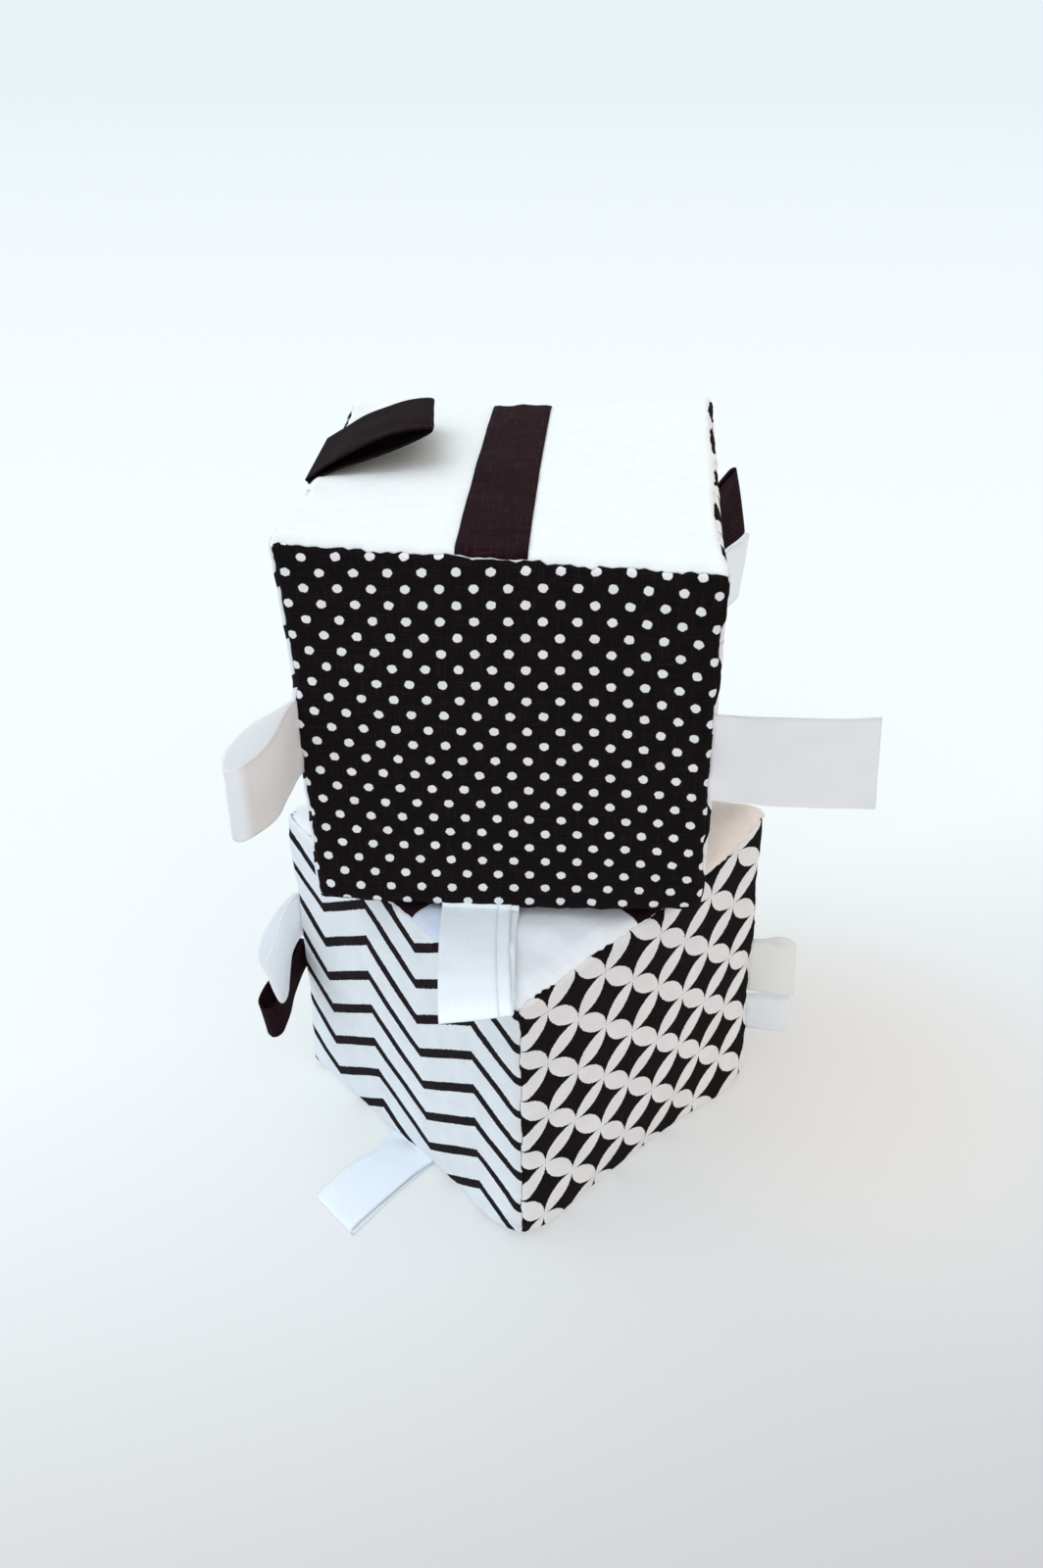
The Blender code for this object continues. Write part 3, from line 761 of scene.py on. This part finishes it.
# ---------------------------------------------------------------- tags
# Sizes are in mm and angles in degrees. A tag leaves its seam at lean, from halfway between the two faces towards the
# second, and turns by curl on its way to the fold, the later the higher the power. opening is the widest gap between
# its layers, and widest the share of its length where that is. root moves it along the seam, and shift its fold more.
# misfit sets its first layer out of line at the seam, and skew its second beyond it. twist turns it about its length.
# slant makes one edge longer, flare its fold wider, and pinch draws one edge in near the seam.
TAG_THICKNESS = 0.6 * MM
LAYER_GAP = 0.4 * MM
LOOP_ROOT = (TAG_THICKNESS + LAYER_GAP) / 2
JOINTS = {joint["child"]: joint for joint in frame["record"]["behaviour"]["joints"]}
TAGS = {
    "upper_black_loop_top": dict(
        seam=("-x", "+z"), width=28.0, length=31.3, lean=101, curl=23, power=0.6, opening=3.8, widest=0.65,
        root=2.7, shift=6.0, slant=-0.075, flare=0.11, twist=4.0, cloth="shade_painted_ribbon",
    ),
    "upper_white_loop_left": dict(
        seam=("-x", "-y"), width=20.5, length=25.4, lean=19, opening=8.5, widest=0.62, shift=-5.0,
    ),
    "upper_white_loop_front": dict(
        seam=("-y", "-z"), width=18.2, length=38.2, lean=-46, curl=30, power=7, misfit=2.0, shift=3.6, slant=-0.05,
        flare=-0.04, cloth="stitched_tape",
    ),
    "upper_black_loop_right": dict(
        seam=("+x", "+y"), width=19.8, length=29.0, lean=17, opening=2.0, shift=2.1, twist=15, cloth="black_ribbon",
    ),
    "upper_white_loop_right": dict(
        seam=("+x", "+y"), width=19.8, length=29.0, lean=10, opening=2.0, shift=2.1, twist=2, slant=0.07,
        cloth="thin_ribbon",
    ),
    "lower_white_loop_left": dict(
        seam=("-x", "-y"), width=16.0, length=23.6, lean=30, curl=62, power=0.3, opening=3.6, widest=0.8,
        root=0.9, shift=-7.2, twist=-14, cloth="thin_ribbon",
    ),
    "lower_black_loop_left": dict(
        seam=("-x", "-y"), width=11.0, length=23.8, lean=71, opening=5.6, widest=0.88, shift=-8.2, twist=-7,
        cloth="black_ribbon",
    ),
    "lower_satin_loop_right": dict(
        seam=("+x", "+y"), width=20.5, length=13.4, lean=3, opening=4.5, widest=0.7, shift=-2.2, slant=-0.05,
        cloth="thin_satin",
    ),
    "lower_white_loop_right": dict(
        seam=("+x", "+y"), width=14.0, length=13.0, lean=5, opening=3.0, widest=0.7, shift=-2.2, cloth="thin_ribbon",
    ),
    "lower_white_loop_floor": dict(
        seam=("-y", "-z"), width=17.6, length=32.4, lean=-45, root=-1.3, shift=3.9, skew=1.3, flare=-0.07, pinch=2.2,
        cloth="cool_ribbon",
    ),
}
LABEL = dict(
    seam=("-y", "+x"), width=24.8, length=39.0, lean=39.4, curl=10, shift=0.3, slant=-0.02, twist=5,
    cloth="white_satin",
)
PLAIN_TAG = dict(
    curl=0, power=1, opening=2 * LOOP_ROOT / MM, widest=0.9, root=0, shift=0, skew=0, misfit=0, twist=0,
    slant=0, flare=0, pinch=0, cloth="white_ribbon",
)
THIN_CLOTHS = ("white_ribbon", "thin_ribbon", "white_satin", "thin_satin")
ROOT_DEPTHS = (3.2 * MM, 2.0 * MM, 1.0 * MM)
ROOT_SPREAD_MM = 0.22
RIPPLE = 0.22 * MM


def tag_frame(name, tag, block):
    """The tag's own axes: X out of the seam, Y to the second face, Z along the seam."""
    first, second = (Vector(AXES[side]) for side in tag["seam"])
    turn = block["frame"].to_3x3()
    out = turn @ (first + second).normalized()
    aside = turn @ (second - first).normalized()
    along = out.cross(aside)
    axes = Matrix((out, aside, along)).transposed().to_4x4()
    place = Vector(JOINTS[name]["pos_m"])
    local = np.array(block["frame"].inverted() @ place)[None]
    place += turn @ Vector(departures(local, block)[0])
    return Matrix.Translation(place) @ axes


def centreline(tag, share):
    """Where the tag's middle is at a share of its length, and which way it heads there."""
    lean, curl = math.radians(tag["lean"]), math.radians(tag["curl"])
    place = Vector((0, 0))
    for i in range(HEADING_STEPS):
        heading = lean + curl * (share * (i + 0.5) / HEADING_STEPS) ** tag["power"]
        place += Vector((math.cos(heading), math.sin(heading))) / HEADING_STEPS
    return place * share * tag["length"] * MM, lean + curl * share ** tag["power"]


def half_opening(tag, share):
    """Half the gap between the layers: it opens smoothly from the seam, and closes round to the fold."""
    widest, widest_share = tag["opening"] * MM / 2, tag["widest"]
    if share > widest_share:
        fall = (share - widest_share) / (1 - widest_share)
        return widest * math.sqrt(max(0, 1 - fall * fall))
    rise = share / widest_share
    return LOOP_ROOT + (widest - LOOP_ROOT) * rise * rise * (3 - 2 * rise)


def loop_path(tag):
    """Out along one layer and back along the other, from inside the seam: (place, share, side, across)."""
    lean = math.radians(tag["lean"])
    root = Vector((math.cos(lean), math.sin(lean))) * LOOP_ROOT
    steps = LOOP_STEPS[0]
    aside = Vector((0, 1))
    inside = [Vector((-depth, 0)) for depth in ROOT_DEPTHS]
    path = [(place + aside * ROOT_SPREAD_MM * MM, 0.0, 1, aside) for place in inside]
    for i in range(2 * steps + 1):
        share = (1 - math.cos(math.pi * i / steps)) / 2
        place, heading = centreline(tag, share)
        side = 1 if i <= steps else -1
        across = Vector((-math.sin(heading), math.cos(heading)))
        path.append((place - root + across * side * half_opening(tag, share), share, side, across))
    path += [(place - aside * ROOT_SPREAD_MM * MM, 0.0, -1, aside) for place in reversed(inside)]
    return path


def add_tag(name, tag, block_name, single=False):
    tag = {**PLAIN_TAG, **tag}
    block = BLOCKS[block_name]
    if single:
        path = [(Vector((-depth, 0)), 0.0, 1, Vector((0, 1))) for depth in ROOT_DEPTHS]
        for i in range(LABEL_STEPS + 1):
            share = i / LABEL_STEPS
            place, heading = centreline(tag, share)
            path.append((place, share, 1, Vector((-math.sin(heading), math.cos(heading)))))
    else:
        path = loop_path(tag)
    width = tag["width"] * MM
    across = LOOP_STEPS[1]
    spots = np.array([(place.x, place.y) for place, _, _, _ in path])
    shares = np.array([share for _, share, _, _ in path])
    sides = np.array([side for _, _, side, _ in path])
    asides = np.array([(aside.x, aside.y) for _, _, _, aside in path])
    run = np.concatenate([[0], np.cumsum(np.linalg.norm(np.diff(spots, axis=0), axis=1))])
    tangent = np.gradient(spots, axis=0)
    tangent /= np.linalg.norm(tangent, axis=1)[:, None]
    normal = np.stack([-tangent[:, 1], tangent[:, 0]], -1)
    seed = sum(ord(c) for c in name)
    points, u, v = [], [], []
    for i in range(across + 1):
        w = i / across * 2 - 1
        z = w * width / 2 * (1 + tag["flare"] * shares)
        z += (tag["root"] + tag["shift"] * shares**1.5 - tag["skew"] * (sides < 0) * shares**0.5) * MM
        z += tag["misfit"] * MM * (sides > 0) * np.sqrt(1 - shares)
        z += tag["pinch"] * MM * max(0, -w) * np.exp(-(((shares - 0.25) / 0.2) ** 2)) * smooth(shares, 0, 0.15)
        place = np.stack([spots[:, 0], spots[:, 1], z], -1)
        place[:, :2] *= (1 + tag["slant"] * w * shares)[:, None]
        turned = math.radians(tag["twist"]) * shares
        place[:, :2] += asides * (w * width / 2 * np.sin(turned))[:, None]
        # soft ripples, none at the seam, more towards the selvages
        ripple = waves(np.stack([run, z, sides * 3 * MM], -1), seed, 11 * MM)
        ripple = ripple * RIPPLE * smooth(shares, 0.02, 0.35) * (0.5 + 0.5 * w * w)
        place[:, :2] += normal * ripple[:, None]
        points.append(place)
        u.append(np.full(len(run), w * width / 2))
        v.append(run)
    points = np.concatenate(points)
    u, v = np.concatenate(u), np.concatenate(v)
    maps = {"cloth": (u * PER_CM, v * PER_CM)}
    placing = tag_frame(name, tag, block)
    obj = grid_object(name + "_cloth", points, (across + 1, len(run)), maps, placing, tag["cloth"])
    # thin cloth is one layer with a thicker selvage, so that light comes through it
    thicken(obj, SATIN if "satin" in tag["cloth"] else TAPE, 0, tag["cloth"] in THIN_CLOTHS)
    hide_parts(name)
    heading = centreline(tag, 0.05)[0].normalized()
    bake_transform(obj)


# ---------------------------------------------------------------- the pieces
for block_name in BLOCKS:
    add_foam(block_name)

add_panel("upper", "dot", "-y", "dot_cotton", DOT_MAP, drift=(-0.1, -0.67))
add_panel("upper", "circle", "+x", "circle_cotton", SIDE_CIRCLE_MAP)
add_panel("upper", "back", "+y", "chevron_cotton", BACK_CHEVRON_MAP)
add_panel("upper", "chevron", "-x", "chevron_cotton", LEFT_CHEVRON_MAP)
add_panel("upper", "plush", "+z", "white_plush", extra_lift=upper_plush_lift)
add_panel("upper", "bottom", "-z", "black_cotton")
add_panel("lower", "chevron", "-y", "chevron_cotton", CHEVRON_MAP, drift=(-1.4, -1.77))
add_panel("lower", "circle", "+x", "circle_cotton", CIRCLE_MAP, drift=(1.24, -1.65))
add_panel("lower", "back_right", "+y", "dot_cotton", BACK_DOT_MAP)
add_panel("lower", "back_left", "-x", "dot_cotton", SIDE_DOT_MAP)
add_panel("lower", "plush", "+z", "light_painted_plush", extra_lift=lower_plush_lift)
add_panel("lower", "base", "-z", "plain_cotton")

add_stripe("ribbon_stripe", "upper", UPPER_STRIPE, False)
add_stripe("ribbon_under", "lower", UNDER_STRIPE, False)
add_stripe("ribbon_over", "lower", OVER_STRIPE, True, UNDER_STRIPE)

for tag_name, tag_values in TAGS.items():
    add_tag(tag_name, tag_values, tag_name.split("_")[0])
add_tag("upper_satin_label", LABEL, "upper", single=True)

# ---------------------------------------------------------------- camera, at the photograph's angle
PITCH, ROLL, YAW = math.radians(35.365), math.radians(-0.356), math.radians(4.46)
FOCAL_PX, LONG_SIDE_PX, SENSOR = 1334.688, 1600, 36
CAMERA_PLACE = Vector((22.6, -299.5, 325.7)) * MM

camera_data = bpy.data.cameras.new("camera")
camera = bpy.data.objects.new("camera", camera_data)
bpy.context.scene.collection.objects.link(camera)
ahead = Vector((-math.sin(YAW) * math.cos(PITCH), math.cos(YAW) * math.cos(PITCH), -math.sin(PITCH)))
right = ahead.cross(Vector((0, 0, 1))).normalized()
above = right.cross(ahead)
rolled_right = right * math.cos(ROLL) + above * math.sin(ROLL)
rolled_up = above * math.cos(ROLL) - right * math.sin(ROLL)
camera_matrix = Matrix((rolled_right, rolled_up, -ahead)).transposed().to_4x4()
camera_matrix.translation = CAMERA_PLACE
camera.matrix_world = camera_matrix
camera_data.sensor_width = SENSOR
camera_data.lens = SENSOR * FOCAL_PX / LONG_SIDE_PX
camera_data.clip_start = 0.01
camera_data.clip_end = 60
bpy.context.scene.camera = camera

# ---------------------------------------------------------------- floor, light and view
g = Graph("paper_sweep")
spot = g.nodes.new("ShaderNodeTexCoord").outputs["Object"]
split = g.nodes.new("ShaderNodeSeparateXYZ")
g.links.new(spot, split.inputs[0])
# painted light: the paper is painted paler away from the viewer and to the left, as in the photograph, and darker
# near the viewer
grade = g.math("MULTIPLY_ADD", split.outputs[0], -0.55, g.math("MULTIPLY_ADD", split.outputs[1], 1.12, 0.888))
near = g.math("MAXIMUM", 0.0, g.math("SUBTRACT", -0.08, split.outputs[1]))
grade = g.math("MULTIPLY_ADD", near, -0.6, grade)
tone = g.mix(g.ramp(grade, 0.5, 0.96, 0.0, 1.0), (0.524, 0.515, 0.52), (0.875, 0.93, 0.935))
# painted light: it fades a little far away, and a warm painted shadow lies where the block keeps the cool light off
tone = g.mix(g.ramp(split.outputs[1], 0.3, 2.2, 0.0, 1.0), tone, (0.765, 0.83, 0.85))
east = g.math("SUBTRACT", split.outputs[0], 0.105)
away = g.math("SQRT", g.math("MULTIPLY_ADD", east, east, g.math("MULTIPLY", split.outputs[1], split.outputs[1])))
tone = g.mix(g.math("MULTIPLY", g.step(away, 0.1, 0.02), 0.8), tone, (0.79, 0.765, 0.735))
g.put(g.shader.inputs["Base Color"], tone)
g.shader.inputs["Roughness"].default_value = 0.95
g.shader.inputs["Specular IOR Level"].default_value = 0.1
seen = g.nodes.new("ShaderNodeLightPath")
rays = g.math("MAXIMUM", seen.outputs["Is Camera Ray"], seen.outputs["Is Glossy Ray"])
rays = g.math("MAXIMUM", rays, seen.outputs["Is Transmission Ray"])
glow = g.nodes.new("ShaderNodeEmission")
g.links.new(tone, glow.inputs["Color"])
blend = g.nodes.new("ShaderNodeMixShader")
g.put(blend.inputs[0], g.math("MULTIPLY", rays, 0.5))
g.links.new(g.shader.outputs[0], blend.inputs[1])
g.links.new(glow.outputs[0], blend.inputs[2])
g.links.new(blend.outputs[0], g.out.inputs["Surface"])
bpy.ops.mesh.primitive_plane_add(size=40, location=(0, 0, 0))
floor = bpy.context.object
floor.name = "paper_sweep"
floor.data.materials.append(g.material)

# a pale room: cool daylight from the left, warm from the right, a little more of it from the front
world = bpy.data.worlds.new("studio")
bpy.context.scene.world = world
world.use_nodes = True
nodes, links = world.node_tree.nodes, world.node_tree.links
background = nodes["Background"]
heading = nodes.new("ShaderNodeTexCoord")
parts = nodes.new("ShaderNodeSeparateXYZ")
links.new(heading.outputs["Generated"], parts.inputs[0])
side = nodes.new("ShaderNodeMapRange")
side.inputs["From Min"].default_value = -1
side.inputs["From Max"].default_value = 1
links.new(parts.outputs[0], side.inputs["Value"])
hue = nodes.new("ShaderNodeMix")
hue.data_type = "RGBA"
hue.inputs[6].default_value = (0.83, 0.965, 1.16, 1)
hue.inputs[7].default_value = (1.07, 0.965, 0.85, 1)
links.new(side.outputs[0], hue.inputs["Factor"])
links.new(hue.outputs[2], background.inputs["Color"])
front = nodes.new("ShaderNodeMapRange")
front.inputs["From Min"].default_value = 1
front.inputs["From Max"].default_value = -1
front.inputs["To Min"].default_value = 0.70
front.inputs["To Max"].default_value = 1.12
links.new(parts.outputs[1], front.inputs["Value"])
links.new(front.outputs[0], background.inputs["Strength"])

sun_data = bpy.data.lights.new("window", "SUN")
sun_data.energy = 0.95
sun_data.angle = math.radians(60)
sun_data.color = (0.97, 0.99, 1.0)
sun = bpy.data.objects.new("window", sun_data)
sun.rotation_euler = Vector((-0.5, 0.1, 1.0)).to_track_quat("Z", "Y").to_euler()
bpy.context.scene.collection.objects.link(sun)

bpy.context.scene.view_settings.view_transform = "Standard"
